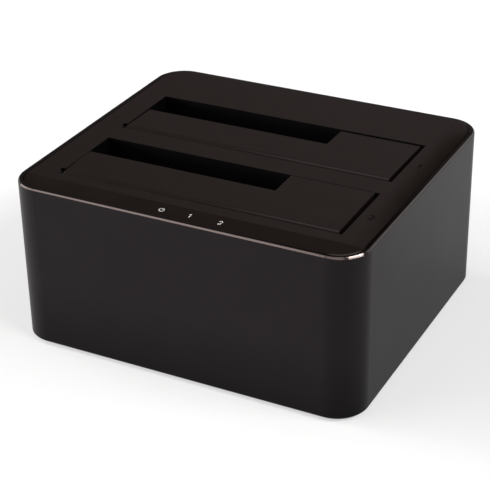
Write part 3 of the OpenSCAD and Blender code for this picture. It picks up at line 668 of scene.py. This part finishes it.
def make_lip():
    """Goes from the right end of the front to the rear of the right side."""
    inset = RIM_WIDTH - LIP_WIDTH / 2
    centre = (SLEEVE_SIDE - CORNER_RADIUS, CORNER_RADIUS - SLEEVE_REAR)
    path = [Vector((RIGHT_START, inset - SLEEVE_REAR))]
    path += arc(centre, CORNER_RADIUS - inset, -90, 0, 30)
    for share in (1.0, 0.5, 0.0):
        path.append(Vector((SLEEVE_SIDE - inset, RIGHT_END - share * RIGHT_BLEND)))
    lip = make_mark("rim_lip", [path], LIP_WIDTH, on_rim, "sleeve")
    lip.data.materials[0] = RIM_METAL


# Places of the lit marks on the strip, and of the labels beside the bays
MARKS = (("mark_power", POWER_SIGN, -7.2 * MM), ("mark_bay_1", ONE, 3.2 * MM),
         ("mark_bay_2", TWO, 14.4 * MM))
MARKS_Y = -51.3 * MM
LABELS = (("label_bay_1", ONE, 57.0 * MM, 13.9 * MM), ("label_bay_2", TWO, 56.8 * MM, -27.7 * MM))
MARK_HEIGHT = 2.1 * MM
MARK_LINE = 0.10
MARK_RISE = 0.03 * MM
MARK_SINK = 0.1 * MM
LABEL_HEIGHT = 2.8 * MM
LABEL_LINE = 0.14
BUTTON_MARK_HEIGHT = 3.0 * MM


def on_strip(x, y):
    """Places a mark's points on the sloping strip, around (x, y)."""
    def place(across, along, level):
        px = x + across * MARK_HEIGHT
        py = y + along * MARK_HEIGHT
        fall = STRIP_DROP * (STRIP_REAR - py) / STRIP_DEPTH + crown(px, py)
        return (px, py, Z_TOP - fall + (MARK_RISE if level else -MARK_SINK))
    return place


def on_border(x, y):
    """Places a label's points on the panel's border, around (x, y)."""
    def place(across, along, level):
        px = x + across * LABEL_HEIGHT
        py = y + along * LABEL_HEIGHT
        return (px, py, Z_TOP - crown(px, py) + (MARK_RISE if level else -MARK_SINK))
    return place


def make_marks():
    for name, lines, x in MARKS:
        make_mark(name, lines, MARK_LINE, on_strip(x, MARKS_Y), "lamp")
    for name, lines, x, y in LABELS:
        make_mark(name, lines, LABEL_LINE, on_border(x, y), "inner_plastic")


def make_button_mark():
    """Power sign on the rear button, seen from behind."""
    low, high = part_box("power_button")
    middle = (low + high) / 2

    def place(across, along, level):
        x = middle.x - across * BUTTON_MARK_HEIGHT
        y = high.y + (MARK_RISE if level else -MARK_SINK)
        return (x, y, middle.z + along * BUTTON_MARK_HEIGHT)

    make_mark("mark_button", POWER_SIGN, MARK_LINE, place, "lamp", "power_button")


def make_flap_spring(node):
    """Puts a copy of the spring into the scene where the imported one is, and hides the imported one.
    """
    spring = bpy.data.objects.new(node + "_wound", nodes[node].data.copy())
    bpy.context.scene.collection.objects.link(spring)
    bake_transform(spring)
    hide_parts(node)


def make_switch_spring():
    """Puts a copy of the switch spring, with a mesh of its own, into the scene with the housing, and
    hides the imported one.
    """
    slot = SLOT_OF["switch_spring"]
    spring = add_piece("switch_spring_pressed", nodes["switch_spring"].data.copy(), slot)
    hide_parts("switch_spring")
    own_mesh(spring)


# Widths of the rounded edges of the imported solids
SOFT_EDGES = {
    "rear_flap": 0.15 * MM,
    "front_flap": 0.15 * MM,
    "power_button": 0.2 * MM,
    "base_plate": 0.3 * MM,
    "drive_cradle": 0.2 * MM,
    "rear_sata_socket": 0.15 * MM,
    "front_sata_socket": 0.15 * MM,
    "dc_jack": 0.2 * MM,
    "usb_shell": 0.1 * MM,
    "usb_insert": 0.1 * MM,
    "foot_front_left": 0.3 * MM,
    "foot_front_right": 0.3 * MM,
    "foot_rear_left": 0.3 * MM,
    "foot_rear_right": 0.3 * MM,
}

for name, node in nodes.items():
    node.data.materials.clear()
    node.data.materials.append(MATERIALS[SLOT_OF[name]])
make_sleeve()
make_panel()
make_lip()
make_marks()
make_button_mark()
make_flap_spring("rear_flap_spring")
make_flap_spring("front_flap_spring")
make_switch_spring()
for name, width in SOFT_EDGES.items():
    soften(nodes[name], width)
